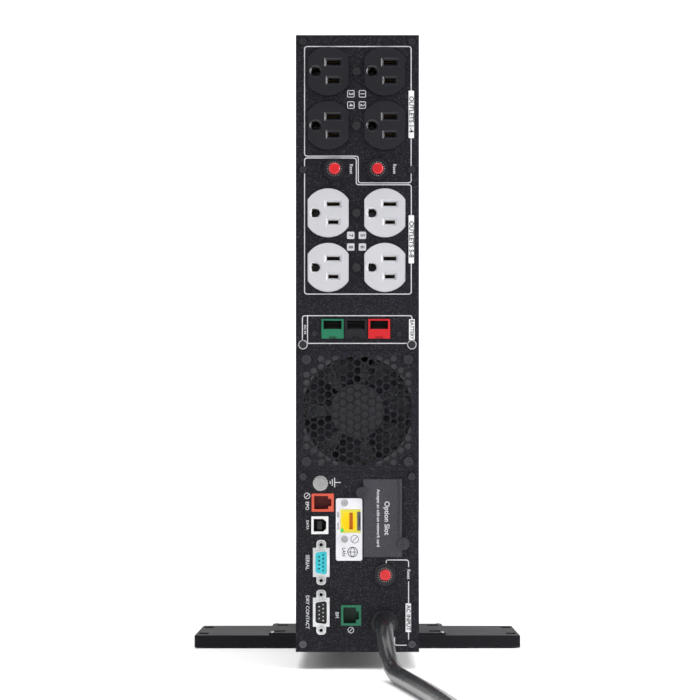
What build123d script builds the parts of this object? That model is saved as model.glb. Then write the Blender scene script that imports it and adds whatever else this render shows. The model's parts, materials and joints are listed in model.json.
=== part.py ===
"""Rackmount UPS standing as a tower: case, rear panel hardware, battery drawer, display, stand and cord.

Row frame: +Z up, the rear panel faces -Y, the display faces +Y, millimetres.
Inside the case a place is given as (x, s, h): x across, s inward from the rear face, h above the case's
lower edge.
"""
import os
from math import cos, pi, radians, sin, tan

from build123d import *

os.makedirs("parts", exist_ok=True)

# ---------------------------------------------------------------- driving dimensions
# case: a 2U cabinet on its narrow side
CASE_W = 86.5
CASE_H = 433.0
CASE_D = 440.0
SHEET = 1.2
BEZEL_D = 30.0
GLAND_OUT = 8.0
LIFT = 11.9
HALF = CASE_W / 2
INNER = HALF - SHEET
FRONT = CASE_D + BEZEL_D
REAR = (CASE_D + BEZEL_D + GLAND_OUT) / 2 - GLAND_OUT
GAP = 0.3
SEAM = 0.05
LIP = 5.7

# rear panel bands
COMM_TOP = 126.5
FAN_TOP = 211.9
PANEL_SCREW_H = (428.2, 338.2, 215.7, 123.0, 5.5)
PANEL_SCREW_X = 38.2
SCREW_HEAD_R = 2.6
SCREW_HEAD_T = 1.4
SCREW_SHANK_R = 1.5
SCREW_HOLE_R = 1.6

# duplex receptacles, lying on their sides
OUTLET_X = (-20.5, 19.2)
BACKED_UP_H = (407.2, 369.2)
SURGE_ONLY_H = (308.0, 269.8)
FACE_OUT = 2.5
FACE_R = 17.05
FACE_W = 28.6
BLADE_X = 3.6
BLADE_H = 6.35
NEUTRAL_SLOT = (9.1, 2.7)
LINE_SLOT = (7.0, 2.6)
LEAD_IN = 1.65
GROUND_LEAD_IN = 1.3
GROUND_X = -8.7
GROUND_R = 2.95
SLOT_DEPTH = 8.0
CONTACT_DEPTH = 22.0
DUPLEX_D = 26.0
DUPLEX_X = sum(OUTLET_X) / 2
DUPLEX_HALF_W = 35.5
DUPLEX_HALF_H = 16.8

# push-to-reset breakers
BREAKERS = ((-16.1, 338.6), (14.2, 338.6), (19.4, 54.2))
BREAKER_NAMES = ("left", "right", "input")
BUTTON_R = 3.85
BUTTON_BORE_R = 4.15
BUSHING_R = 5.4
BUSHING_OUT = 4.2
NUT_R = 7.55
NUT_FLATS = 14.4
NUT_T = 2.6
BREAKER_BODY = (15.0, 30.0, 24.0)
BUTTON_OUT = 7.2
BUTTON_IN = 9.0

# battery extension connector: three keyed housings in one bracket
EBM_H = (219.9, 233.6)
EBM_X = ((-25.2, -9.7), (-8.6, 6.5), (7.6, 22.9))
EBM_NAMES = ("green", "black", "red")
EBM_OUT = 1.4
EBM_IN = 34.0
EBM_CAVITY_H = (226.6, 232.5)
EBM_CAVITY_D = 16.0
EBM_SCREWS = ((-30.5, 223.2), (29.3, 223.2))

# fan: 80 mm frame behind a hexagonal grille
FAN_H = 169.4
FAN_SIZE = 80.0
FAN_T = 25.0
FAN_BORE_R = 38.5
FAN_SCREW = 35.75
HEX_FLATS = 4.4
HEX_PITCH_X = 5.10
HEX_PITCH_H = 5.60
HEX_COLUMNS = (10, 11, 14, 13, 14, 13, 14, 13, 14, 13, 14, 13, 14, 11, 10)
HUB_R = 19.0
BLADE_TIP_R = 37.5
BLADES = 7
SHAFT_R = 1.5

# communication panel
GROUND_STUD = (-25.9, 118.4)
EPO_X, EPO_H = (-32.1, -16.6), (98.5, 111.2)
USB_X, USB_H = (-32.3, -20.4), (82.8, 95.2)
DSUB_X = -25.4
SERIAL_H = 62.9
RELAY_H = 28.0
JACK_SPACING = 25.0
JACK_HOLE_R = 1.2
PIN_PITCH = 2.77
PIN_ROW = 1.42
LAN_X, LAN_H = (-15.1, 3.4), (64.1, 107.9)
RJ45_X, RJ45_H = (-11.9, 2.3), (83.7, 100.1)
LAN_SCREWS = ((-9.0, 104.6), (-9.0, 79.2))
SLOT_X, SLOT_H = (4.3, 31.2), (66.7, 121.2)
SLOT_SCREWS = ((2.7, 112.0), (31.9, 75.9))
TEL_X, TEL_H = (-11.5, 2.6), (18.6, 32.9)
GLAND = (19.0, 20.5)

# supply cord
CORD_R = 5.8
BOOT_OUT = 28.0
COIL_TURN_R = (38.5, 82.5)
COIL_X = -20.0
COIL_OUT = 540.0
COIL_TOP = 4 * CORD_R
PLUG_Z = 10.2
PLUG_TURN_R = 71.5
PLUG_REACH = 78.0
PLUG_BODY = (27.0, 20.4)
PLUG_LEN = 36.0
TIE_T = 1.2

# battery drawer, 2 x 2 sealed 12 V blocks
BLOCK_S, BLOCK_X, BLOCK_H = 151.0, 65.0, 94.0
DRAWER_S = (131.8, 436.4)
DRAWER_X = -36.8
DRAWER_H = (4.6, 201.9)
ROW_H = (6.0, 106.7)
DIVIDER_H = 206.0
BEZEL_SPLIT = 214.0

# front bezels and display
WALL = 2.5
DIAL_H = 372.0
DIAL_R = 33.0
DIAL_HOLE_R = 33.6
DIAL_BACK = 454.0
DIAL_FRONT = FRONT + 0.8
KEY_R = 3.2
KEY_HOLE_R = 3.5
KEY_X = (-16.5, -5.5, 5.5, 16.5)
KEY_DROP = 22.0
KEY_NAMES = ("power", "up", "down", "enter")
KEY_OUT = 1.3
KEY_TRAVEL = 1.2
KEY_WELL = 9.0
PIVOT_R = 6.0
LCD = (46.0, 33.0)
LCD_RISE = 4.0
LCD_POCKET = 3.4

# rack ears bolt to the two narrow sides near the front
EAR_S = 419.0
EAR_PITCH = (44.0, 24.0)
EAR_HOLE_R = 2.2
COVER_SCREW_S = (30.0, 160.0, 310.0, 400.0)
COVER_SCREW_X = 35.5

# tower stand under the middle of the case
STAND_HALF_W = 126.8
STAND_S = (179.0, 285.0)
FOOT_TOP = 10.1
PLATFORM_HALF_W = 69.0
PAD_Z = 0.8
PAD_RECESS = 0.8
PAD_X = (32.0, 108.0)
PAD_SIZE = (20.0, 90.0)
POCKET_S = (200.0, 266.0)
FOOT_POCKET_X = 120.8
FOOT_POCKET = (7.9, 13.0, 3.0)
PLATFORM_POCKET_X = 61.0
PLATFORM_POCKET = (9.0, 13.0)
STAND_PIN_X = 66.2
STAND_PIN_INSET = 4.5
STAND_PIN_R = 1.5
STAND_PIN_RISE = 0.6



# ---------------------------------------------------------------- helpers
def slab(x, s, h, mode=Mode.ADD):
    """Add or cut a box between the given limits, in case coordinates."""
    centre = (sum(x) / 2, sum(s) / 2 - REAR, sum(h) / 2 + LIFT)
    with Locations(centre):
        Box(x[1] - x[0], s[1] - s[0], h[1] - h[0], mode=mode)


def rear(out=0.0):
    """Plane facing -Y, `out` beyond the rear face; its axes are x and h."""
    return Plane(origin=(0, -REAR - out, LIFT), x_dir=(1, 0, 0), z_dir=(0, -1, 0))


def disc(x, h, r, out, inward, mode=Mode.ADD):
    """Add or cut a cylinder along Y from `out` beyond the rear face to `inward` behind it."""
    with BuildSketch(rear(out)) as outline:
        with Locations((x, h)):
            Circle(r)
    extrude(outline.sketch, amount=-(out + inward), mode=mode)


def save(piece, name):
    """Label a finished sub-part and write it to its own STEP file."""
    piece.part.label = name
    export_step(piece.part, f"parts/{name}.step")


def pan_screw(x, h, out, head_r=SCREW_HEAD_R, head_t=SCREW_HEAD_T, shank_r=SCREW_SHANK_R, length=9.0):
    """A cross-recessed pan-head screw along Y whose head sits `out` beyond the rear face."""
    disc(x, h, head_r, out + head_t, -out)
    disc(x, h, shank_r, out, length)
    with BuildSketch(rear(out + head_t)) as cross:
        with Locations((x, h)):
            Rectangle(head_r * 1.1, head_r * 0.28)
            Rectangle(head_r * 0.28, head_r * 1.1)
    extrude(cross.sketch, amount=-head_t * 0.6, mode=Mode.SUBTRACT)


def socket_block(x, h, out, inward, wall, notch):
    """A modular jack: a block with a plug cavity and a narrower latch notch toward +X."""
    slab(x, (-out, inward), h)
    cavity_x = (x[0] + wall, x[1] - wall - notch)
    cavity_h = (h[0] + wall, h[1] - wall)
    slab(cavity_x, (-out, inward - wall), cavity_h, mode=Mode.SUBTRACT)
    middle = sum(h) / 2
    reach = (h[1] - h[0]) * 0.2
    notch_x = (cavity_x[1], cavity_x[1] + notch)
    slab(notch_x, (-out, inward - wall), (middle - reach, middle + reach), mode=Mode.SUBTRACT)


# ---------------------------------------------------------------- case
FAN_BAND = (COMM_TOP, FAN_TOP)
LIP_SPANS = ((2 * SHEET, COMM_TOP + 1.5), (FAN_TOP - 1.5, CASE_H - 2 * SHEET))


def ear_holes():
    """Rack-ear holes through both narrow sides."""
    with BuildSketch(Plane.XY) as holes:
        with Locations((0, EAR_S - REAR)):
            with GridLocations(EAR_PITCH[0], EAR_PITCH[1], 2, 2):
                Circle(EAR_HOLE_R)
    extrude(holes.sketch, amount=LIFT + CASE_H + 1, mode=Mode.SUBTRACT)


def cover_screw_holes():
    """Holes for the screws that hold the cover's flanges to both narrow sides."""
    with BuildSketch(Plane.XY) as holes:
        with Locations([(COVER_SCREW_X, s - REAR) for s in COVER_SCREW_S]):
            Circle(SCREW_HOLE_R)
    extrude(holes.sketch, amount=LIFT + CASE_H + 1, mode=Mode.SUBTRACT)


def panel_screw_holes(side):
    """Holes for the rear panel screws in the lip on one side."""
    for h in PANEL_SCREW_H:
        disc(side * PANEL_SCREW_X, h, SCREW_HOLE_R, 1, 5, mode=Mode.SUBTRACT)


with BuildPart() as case_tray:
    slab((-HALF, -INNER), (SHEET, CASE_D), (0, CASE_H))
    slab((-INNER, INNER), (SHEET, CASE_D), (0, SHEET))
    slab((-INNER, INNER), (SHEET, CASE_D), (CASE_H - SHEET, CASE_H))
    slab((-HALF, -INNER), (0, SHEET), FAN_BAND)
    for h in LIP_SPANS:
        slab((-INNER, -INNER + LIP), (SHEET, 2 * SHEET), h)
    panel_screw_holes(-1)
    ear_holes()
    cover_screw_holes()
save(case_tray, "case_tray")

with BuildPart() as case_cover:
    slab((INNER, HALF), (SHEET, CASE_D), (0, CASE_H))
    slab((INNER, HALF), (0, SHEET), FAN_BAND)
    for h in LIP_SPANS:
        slab((INNER - LIP, INNER), (SHEET, 2 * SHEET), h)
    for h in (SHEET, CASE_H - 2 * SHEET):
        slab((INNER - 13, INNER), (SHEET, CASE_D - 8), (h, h + SHEET))
    panel_screw_holes(1)
    cover_screw_holes()
save(case_cover, "case_cover")

with BuildPart() as case_screws:
    for base, way in ((LIFT, -1), (LIFT + CASE_H, 1)):
        seat = Plane(origin=(0, 0, base), x_dir=(1, 0, 0), z_dir=(0, 0, way))
        with BuildSketch(seat):
            with Locations([(COVER_SCREW_X, way * (s - REAR)) for s in COVER_SCREW_S]):
                Circle(SCREW_HEAD_R)
        extrude(amount=SCREW_HEAD_T)
        with BuildSketch(seat):
            with Locations([(COVER_SCREW_X, way * (s - REAR)) for s in COVER_SCREW_S]):
                Circle(SCREW_SHANK_R)
        extrude(amount=-5)
        with BuildSketch(seat.offset(SCREW_HEAD_T)):
            with Locations([(COVER_SCREW_X, way * (s - REAR)) for s in COVER_SCREW_S]):
                Rectangle(SCREW_HEAD_R * 1.1, SCREW_HEAD_R * 0.28)
                Rectangle(SCREW_HEAD_R * 0.28, SCREW_HEAD_R * 1.1)
        extrude(amount=-SCREW_HEAD_T * 0.6, mode=Mode.SUBTRACT)
    for h in PANEL_SCREW_H:
        for side in (-1, 1):
            pan_screw(side * PANEL_SCREW_X, h, 0, length=6.0)
    for side_x in (-1, 1):
        for side_h in (-1, 1):
            pan_screw(side_x * FAN_SCREW, FAN_H + side_h * FAN_SCREW, 0, head_r=3.4, head_t=1.6, length=12.0)
save(case_screws, "case_screws")


# ---------------------------------------------------------------- rear panels
def outlet_face(x, h, grow):
    """Outline of one receptacle face: a circle cut flat at the sides."""
    with Locations((x, h)):
        Circle(FACE_R + grow)
        Rectangle(FACE_W + 2 * grow, 2 * FACE_R + 2, mode=Mode.INTERSECT)


with BuildPart() as outlet_panel:
    slab((-HALF, HALF), (0, SHEET), (FAN_TOP, CASE_H))
    for h in BACKED_UP_H + SURGE_ONLY_H:
        for x in OUTLET_X:
            with BuildSketch(rear()):
                outlet_face(x, h, 0.2)
            extrude(amount=-SHEET, mode=Mode.SUBTRACT)
        disc(DUPLEX_X, h, 1.9, 0, SHEET, mode=Mode.SUBTRACT)
    for x, h in BREAKERS[:2]:
        disc(x, h, BUSHING_R, 0, SHEET, mode=Mode.SUBTRACT)
    slab((-25.8, 24.1), (0, SHEET), (219.4, 234.0), mode=Mode.SUBTRACT)
    for x, h in EBM_SCREWS:
        disc(x, h, 1.1, 0, SHEET, mode=Mode.SUBTRACT)
    for h in PANEL_SCREW_H[:3]:
        for side in (-1, 1):
            disc(side * PANEL_SCREW_X, h, SCREW_HOLE_R, 0, SHEET, mode=Mode.SUBTRACT)
save(outlet_panel, "outlet_panel")

with BuildPart() as fan_panel:
    slab((-INNER + 0.1, INNER - 0.1), (0, SHEET), (COMM_TOP + 0.15, FAN_TOP - 0.15))
    with BuildSketch(rear()):
        for column, count in enumerate(HEX_COLUMNS):
            x = (column - (len(HEX_COLUMNS) - 1) / 2) * HEX_PITCH_X
            with Locations((x, FAN_H)):
                with GridLocations(1, HEX_PITCH_H, 1, count):
                    RegularPolygon(HEX_FLATS / 2, 6, major_radius=False)
    extrude(amount=-SHEET, mode=Mode.SUBTRACT)
    with BuildSketch(rear()):
        with Locations((0, FAN_H)):
            with GridLocations(2 * FAN_SCREW, 2 * FAN_SCREW, 2, 2):
                Circle(1.9)
    extrude(amount=-SHEET, mode=Mode.SUBTRACT)
save(fan_panel, "fan_panel")

with BuildPart() as comm_panel:
    slab((-HALF, HALF), (0, SHEET), (0, COMM_TOP))
    slab(EPO_X, (0, SHEET), EPO_H, mode=Mode.SUBTRACT)
    slab(USB_X, (0, SHEET), USB_H, mode=Mode.SUBTRACT)
    slab(TEL_X, (0, SHEET), TEL_H, mode=Mode.SUBTRACT)
    slab(RJ45_X, (0, SHEET), RJ45_H, mode=Mode.SUBTRACT)
    for h in (SERIAL_H, RELAY_H):
        slab((DSUB_X - 4.9, DSUB_X + 4.9), (0, SHEET), (h - 9.6, h + 9.6), mode=Mode.SUBTRACT)
        for side in (-1, 1):
            disc(DSUB_X, h + side * JACK_SPACING / 2, 1.6, 0, SHEET, mode=Mode.SUBTRACT)
    slab((8.0, 27.5), (0, SHEET), (71.0, 117.0), mode=Mode.SUBTRACT)
    disc(*GROUND_STUD, 2.6, 0, SHEET, mode=Mode.SUBTRACT)
    disc(*GLAND, 7.5, 0, SHEET, mode=Mode.SUBTRACT)
    disc(*BREAKERS[2], BUSHING_R, 0, SHEET, mode=Mode.SUBTRACT)
    for x, h in LAN_SCREWS + SLOT_SCREWS:
        disc(x, h, SCREW_HOLE_R, 0, SHEET, mode=Mode.SUBTRACT)
    for h in PANEL_SCREW_H[3:]:
        for side in (-1, 1):
            disc(side * PANEL_SCREW_X, h, SCREW_HOLE_R, 0, SHEET, mode=Mode.SUBTRACT)
save(comm_panel, "comm_panel")


# ---------------------------------------------------------------- receptacles
def ground_hole(x, h, r):
    """Outline of the earth-pin hole: round toward the blades, flat on the far side."""
    with Locations((x, h)):
        Circle(r)
        with Locations((-r / 2 + 0.15, 0)):
            Rectangle(r - 0.3, 2 * r)


def duplex(h):
    """One duplex receptacle: a block behind the panel and two slotted faces through it."""
    across = (DUPLEX_X - DUPLEX_HALF_W, DUPLEX_X + DUPLEX_HALF_W)
    slab(across, (SHEET, SHEET + DUPLEX_D), (h - DUPLEX_HALF_H, h + DUPLEX_HALF_H))
    for x in OUTLET_X:
        with BuildSketch(rear(FACE_OUT)) as face:
            outlet_face(x, h, 0)
        extrude(face.sketch, amount=-FACE_OUT - SHEET)
    for x in OUTLET_X:
        for side, slot in ((1, NEUTRAL_SLOT), (-1, LINE_SLOT)):
            at = (x + BLADE_X, h + side * BLADE_H)
            with BuildSketch(rear(FACE_OUT)) as funnel:
                with Locations(at):
                    Rectangle(slot[0] + 2 * LEAD_IN, slot[1] + 2 * LEAD_IN)
            extrude(funnel.sketch, amount=-LEAD_IN, taper=45, mode=Mode.SUBTRACT)
            with BuildSketch(rear(FACE_OUT)) as mouth:
                with Locations(at):
                    Rectangle(*slot)
            extrude(mouth.sketch, amount=-SLOT_DEPTH, mode=Mode.SUBTRACT)
            with BuildSketch(rear(FACE_OUT - SLOT_DEPTH)) as chamber:
                with Locations(at):
                    Rectangle(NEUTRAL_SLOT[0] + 1.2, NEUTRAL_SLOT[1] + 1.2)
            extrude(chamber.sketch, amount=SLOT_DEPTH - CONTACT_DEPTH, mode=Mode.SUBTRACT)
        with BuildSketch(rear(FACE_OUT)) as funnel:
            with Locations((x + GROUND_X, h)):
                Circle(GROUND_R + GROUND_LEAD_IN)
        extrude(funnel.sketch, amount=-GROUND_LEAD_IN, taper=45, mode=Mode.SUBTRACT)
        with BuildSketch(rear(FACE_OUT)) as mouth:
            ground_hole(x + GROUND_X, h, GROUND_R)
        extrude(mouth.sketch, amount=-SLOT_DEPTH, mode=Mode.SUBTRACT)
        chamber = (FACE_OUT - SLOT_DEPTH, CONTACT_DEPTH - FACE_OUT)
        disc(x + GROUND_X, h, GROUND_R + 0.9, *chamber, mode=Mode.SUBTRACT)
    disc(DUPLEX_X, h, 1.7, 0, 12, mode=Mode.SUBTRACT)


for shade, rows in (("black", BACKED_UP_H), ("grey", SURGE_ONLY_H)):
    with BuildPart() as receptacles:
        for h in rows:
            duplex(h)
    save(receptacles, f"receptacles_{shade}")

with BuildPart() as socket_contacts:
    for h in BACKED_UP_H + SURGE_ONLY_H:
        for x in OUTLET_X:
            with BuildSketch(rear(FACE_OUT - CONTACT_DEPTH)):
                for side in (-1, 1):
                    with Locations((x + BLADE_X, h + side * BLADE_H)):
                        with GridLocations(1, 2.1, 1, 2):
                            Rectangle(8.4, 0.6)
                with Locations((x + GROUND_X, h)):
                    Circle(GROUND_R + 0.7)
                    Circle(GROUND_R + 0.1, mode=Mode.SUBTRACT)
            extrude(amount=CONTACT_DEPTH - SLOT_DEPTH - 1)
    for x0, x1 in EBM_X:
        middle = (x0 + x1) / 2
        slab((middle - 4.5, middle + 4.5), (2.5, EBM_CAVITY_D), (EBM_CAVITY_H[0], EBM_CAVITY_H[0] + 1.2))
save(socket_contacts, "socket_contacts")

with BuildPart() as fitting_screws:
    for h in BACKED_UP_H + SURGE_ONLY_H:
        pan_screw(DUPLEX_X, h, 0, head_r=2.9, length=11.0)
    for x, h in EBM_SCREWS:
        pan_screw(x, h, 0, head_r=1.5, head_t=0.8, shank_r=1.0, length=8.0)
    for x, h in LAN_SCREWS:
        pan_screw(x, h, 0.8, head_r=2.4, length=7.0)
    for x, h in SLOT_SCREWS:
        pan_screw(x, h, 1.0, head_r=3.7, head_t=2.2, length=7.0)
save(fitting_screws, "fitting_screws")

# ---------------------------------------------------------------- breakers
with BuildPart() as breaker_bodies:
    for x, h in BREAKERS:
        half_w, half_h = BREAKER_BODY[0] / 2, BREAKER_BODY[2] / 2
        slab((x - half_w, x + half_w), (SHEET, SHEET + BREAKER_BODY[1]), (h - half_h, h + half_h))
        disc(x, h, BUSHING_R, BUSHING_OUT, SHEET)
        disc(x, h, BUTTON_BORE_R, BUSHING_OUT, BUTTON_IN + 1, mode=Mode.SUBTRACT)
        with BuildSketch(rear()):
            with Locations((x, h)):
                Circle(NUT_R)
                Rectangle(NUT_FLATS, 2 * NUT_R + 1, mode=Mode.INTERSECT)
                Circle(BUSHING_R + SEAM, mode=Mode.SUBTRACT)
        extrude(amount=NUT_T)
save(breaker_bodies, "breaker_bodies")

for (x, h), place in zip(BREAKERS, BREAKER_NAMES):
    with BuildPart() as breaker_button:
        disc(x, h, BUTTON_R, BUTTON_OUT, BUTTON_IN)
        fillet(breaker_button.edges().sort_by(Axis.Y)[0], 0.9)
    save(breaker_button, f"breaker_button_{place}")

# ---------------------------------------------------------------- battery extension connector
with BuildPart() as battery_port_bracket:
    slab((-35.5, 34.0), (SHEET, 11.0), (217.2, 235.6))
    for x in EBM_X:
        slab(x, (0, 12.0), EBM_H, mode=Mode.SUBTRACT)
    for x, h in EBM_SCREWS:
        disc(x, h, 1.1, 0, 9, mode=Mode.SUBTRACT)
save(battery_port_bracket, "battery_port_bracket")

for (x0, x1), shade in zip(EBM_X, EBM_NAMES):
    with BuildPart() as battery_port:
        slab((x0, x1), (-EBM_OUT, EBM_IN), EBM_H)
        slab((x0 + 1.4, x1 - 1.4), (-EBM_OUT, EBM_CAVITY_D), EBM_CAVITY_H, mode=Mode.SUBTRACT)
        middle = (x0 + x1) / 2
        slab((middle - 2.6, middle + 2.6), (-EBM_OUT, 1.2), (EBM_H[0], 221.6), mode=Mode.SUBTRACT)
    save(battery_port, f"battery_port_{shade}")

# ---------------------------------------------------------------- fan
FAN_AXIS = Plane(origin=(0, -REAR, LIFT + FAN_H), x_dir=(1, 0, 0), z_dir=(0, 1, 0))
FAN_START = SHEET
FAN_END = SHEET + FAN_T

with BuildPart() as fan_frame:
    with BuildSketch(FAN_AXIS.offset(FAN_START)):
        RectangleRounded(FAN_SIZE, FAN_SIZE, 4)
        Circle(FAN_BORE_R, mode=Mode.SUBTRACT)
        with GridLocations(2 * FAN_SCREW, 2 * FAN_SCREW, 2, 2):
            Circle(2.0, mode=Mode.SUBTRACT)
    extrude(amount=FAN_T)
    with BuildSketch(FAN_AXIS.offset(FAN_END)):
        Circle(17)
        with PolarLocations(27.5, 4, start_angle=20):
            Rectangle(25, 4)
        Circle(2.5, mode=Mode.SUBTRACT)
    extrude(amount=-2.5)
    with BuildSketch(FAN_AXIS.offset(FAN_END - 2.5)):
        Circle(14.5)
        Circle(SHAFT_R + 0.05, mode=Mode.SUBTRACT)
    extrude(amount=-14)
save(fan_frame, "fan_frame")

with BuildPart() as fan_rotor:
    with BuildSketch(FAN_AXIS.offset(FAN_START + 2.5)):
        Circle(HUB_R)
    extrude(amount=18)
    with BuildSketch(FAN_AXIS.offset(FAN_START + 5)):
        Circle(HUB_R - 2.5)
    extrude(amount=16, mode=Mode.SUBTRACT)
    with BuildSketch(FAN_AXIS.offset(FAN_START + 4)):
        Circle(SHAFT_R)
    extrude(amount=17)
    for blade in range(BLADES):
        turn = radians(360 / BLADES * blade)
        outward = Vector(cos(turn), 0, sin(turn))
        across = Vector(-sin(turn), 0, cos(turn))
        hub = Vector(0, FAN_START + 11.5 - REAR, LIFT + FAN_H)
        for r, chord, pitch in ((HUB_R - 1.5, 17, 48), (BLADE_TIP_R + 2, 25, 30)):
            with BuildSketch(Plane(origin=hub + outward * r, x_dir=across, z_dir=outward)):
                Rectangle(chord, 1.4, rotation=pitch)
        loft()
    with BuildSketch(FAN_AXIS.offset(FAN_START)):
        Circle(BLADE_TIP_R)
    extrude(amount=FAN_T, mode=Mode.INTERSECT)
    with BuildSketch(FAN_AXIS.offset(FAN_START + 5)):
        Circle(HUB_R - 2.5)
        Circle(SHAFT_R, mode=Mode.SUBTRACT)
    extrude(amount=16, mode=Mode.SUBTRACT)
save(fan_rotor, "fan_rotor")

# ---------------------------------------------------------------- communication panel hardware
with BuildPart() as ground_terminal:
    disc(*GROUND_STUD, 5.3, 1.1, 0)
    disc(*GROUND_STUD, 4.6, 2.2, -1.1 - SEAM)
    disc(*GROUND_STUD, 2.6, 2.2, 0, mode=Mode.SUBTRACT)
    pan_screw(*GROUND_STUD, 2.2 + SEAM, head_r=3.9, head_t=2.4, shank_r=2.5, length=9.0)
save(ground_terminal, "ground_terminal")

with BuildPart() as emergency_off_jack:
    socket_block(EPO_X, EPO_H, 0.8, 14.0, 1.7, 2.2)
save(emergency_off_jack, "emergency_off_jack")

with BuildPart() as battery_data_jack:
    socket_block(TEL_X, TEL_H, 0.8, 15.0, 1.6, 2.0)
save(battery_data_jack, "battery_data_jack")

with BuildPart() as usb_socket:
    slab(USB_X, (-0.8, 15.0), USB_H)
    with BuildSketch(rear(0.8)):
        with BuildLine():
            Polyline(
                (-30.7, 84.6), (-24.1, 84.6), (-21.9, 86.4), (-21.9, 91.6), (-24.1, 93.4), (-30.7, 93.4), close=True
            )
        make_face()
    extrude(amount=-12.8, mode=Mode.SUBTRACT)
    slab((-28.2, -25.0), (0.6, 12.0 - SEAM), (86.2, 91.8))
save(usb_socket, "usb_socket")


def d_outline(h, grow):
    """Outline of a nine-way D connector, wide side toward +X."""
    Polygon(
        (DSUB_X - 4.0 - grow, h - 7.0 - grow),
        (DSUB_X + 4.0 + grow, h - 8.4 - grow),
        (DSUB_X + 4.0 + grow, h + 8.4 + grow),
        (DSUB_X - 4.0 - grow, h + 7.0 + grow),
        align=None,
    )


def nine_ways(h, r):
    """Circles at the nine contacts of a D connector: five toward +X, four toward -X."""
    for x, count in ((DSUB_X + PIN_ROW, 5), (DSUB_X - PIN_ROW, 4)):
        with Locations((x, h)):
            with GridLocations(1, PIN_PITCH, 1, count):
                Circle(r)


with BuildPart() as dsub_shells:
    for h in (SERIAL_H, RELAY_H):
        with BuildSketch(rear()):
            with Locations((DSUB_X, h)):
                Rectangle(11.7, 20.4)
                RectangleRounded(6.8, 31.6, 2.6)
                with GridLocations(1, JACK_SPACING, 1, 2):
                    Circle(1.6, mode=Mode.SUBTRACT)
        extrude(amount=0.8)
        with BuildSketch(rear()) as ring:
            d_outline(h, 0.5)
            fillet(ring.vertices(), 2.2)
        extrude(amount=5.8)
        with BuildSketch(rear()) as hollow:
            d_outline(h, 0)
            fillet(hollow.vertices(), 1.7)
        extrude(amount=5.8, mode=Mode.SUBTRACT)
save(dsub_shells, "dsub_shells")

with BuildPart() as serial_insert:
    with BuildSketch(rear(5.5)) as body:
        d_outline(SERIAL_H, 0)
        fillet(body.vertices(), 1.7)
    extrude(amount=-15.5)
    with BuildSketch(rear(5.5)):
        nine_ways(SERIAL_H, 0.65)
    extrude(amount=-7, mode=Mode.SUBTRACT)
save(serial_insert, "serial_insert")

with BuildPart() as relay_insert:
    with BuildSketch(rear(0.9)) as body:
        d_outline(RELAY_H, 0)
        fillet(body.vertices(), 1.7)
    extrude(amount=-10.9)
    with BuildSketch(rear(0.9)):
        nine_ways(RELAY_H, 0.5)
    extrude(amount=4.2)
save(relay_insert, "relay_insert")

with BuildPart() as lan_plate:
    with BuildSketch(rear()):
        with Locations((sum(LAN_X) / 2, sum(LAN_H) / 2)):
            RectangleRounded(LAN_X[1] - LAN_X[0], LAN_H[1] - LAN_H[0], 1.5)
        with Locations((sum(RJ45_X) / 2, sum(RJ45_H) / 2)):
            Rectangle(RJ45_X[1] - RJ45_X[0], RJ45_H[1] - RJ45_H[0], mode=Mode.SUBTRACT)
        with Locations(LAN_SCREWS):
            Circle(SCREW_HOLE_R, mode=Mode.SUBTRACT)
    extrude(amount=0.8)
save(lan_plate, "lan_plate")

with BuildPart() as lan_socket:
    slab(RJ45_X, (-1.0, 20.0), RJ45_H)
    slab((-9.6, -1.2), (-1.0, 15.0), (86.0, 97.8), mode=Mode.SUBTRACT)
    slab((-11.0, -9.6), (-1.0, 15.0), (89.4, 94.4), mode=Mode.SUBTRACT)
    slab((-0.2, RJ45_X[1]), (-1.0, 12.0), (85.2, 98.6), mode=Mode.SUBTRACT)
    slab((-11.6, -9.9), (-1.0, 4.0), (84.2, 86.6), mode=Mode.SUBTRACT)
    slab((-0.2 + SEAM, RJ45_X[1]), (-1.0, 12.0 - SEAM), (85.2 + SEAM, 98.6 - SEAM))
    slab((0.8, 1.7), (-1.0, 3.0), (88.0, 95.8), mode=Mode.SUBTRACT)
    slab((-11.6 + SEAM, -9.9 - SEAM), (-1.2, 4.0 - SEAM), (84.2 + SEAM, 86.6 - SEAM))
save(lan_socket, "lan_socket")

with BuildPart() as slot_cover:
    slab(SLOT_X, (-1.0, 0), SLOT_H)
    disc(SLOT_SCREWS[0][0] + 1, SLOT_SCREWS[0][1], 4.0, 1.0, 0)
    disc(SLOT_SCREWS[1][0], SLOT_SCREWS[1][1], 4.6, 1.0, 0)
    slab((29.5, SLOT_X[1]), (-2.4, -1.0), (82.0, SLOT_H[1]))
    for x, h in SLOT_SCREWS:
        disc(x, h, SCREW_HOLE_R, 3, 0, mode=Mode.SUBTRACT)
save(slot_cover, "slot_cover")

# ---------------------------------------------------------------- supply cord entry
with BuildPart() as cord_gland:
    disc(*GLAND, 7.4, 0, 14)
    disc(*GLAND, 9.5, 2.0, 0)
    with BuildSketch(rear(2.0)):
        with Locations(GLAND):
            RegularPolygon(8.5, 6, major_radius=False)
    extrude(amount=GLAND_OUT - 2.0)
    with BuildSketch(rear(-SHEET)):
        with Locations(GLAND):
            RegularPolygon(9.5, 6, major_radius=False)
    extrude(amount=-4)
save(cord_gland, "cord_gland")

with BuildPart() as strain_relief:
    disc(*GLAND, 7.6, GLAND_OUT + 4, -GLAND_OUT)
    with BuildSketch(rear(GLAND_OUT + 4)):
        with Locations(GLAND):
            Circle(7.6)
    with BuildSketch(rear(BOOT_OUT)):
        with Locations(GLAND):
            Circle(CORD_R + 0.6)
    loft()
save(strain_relief, "strain_relief")

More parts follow.
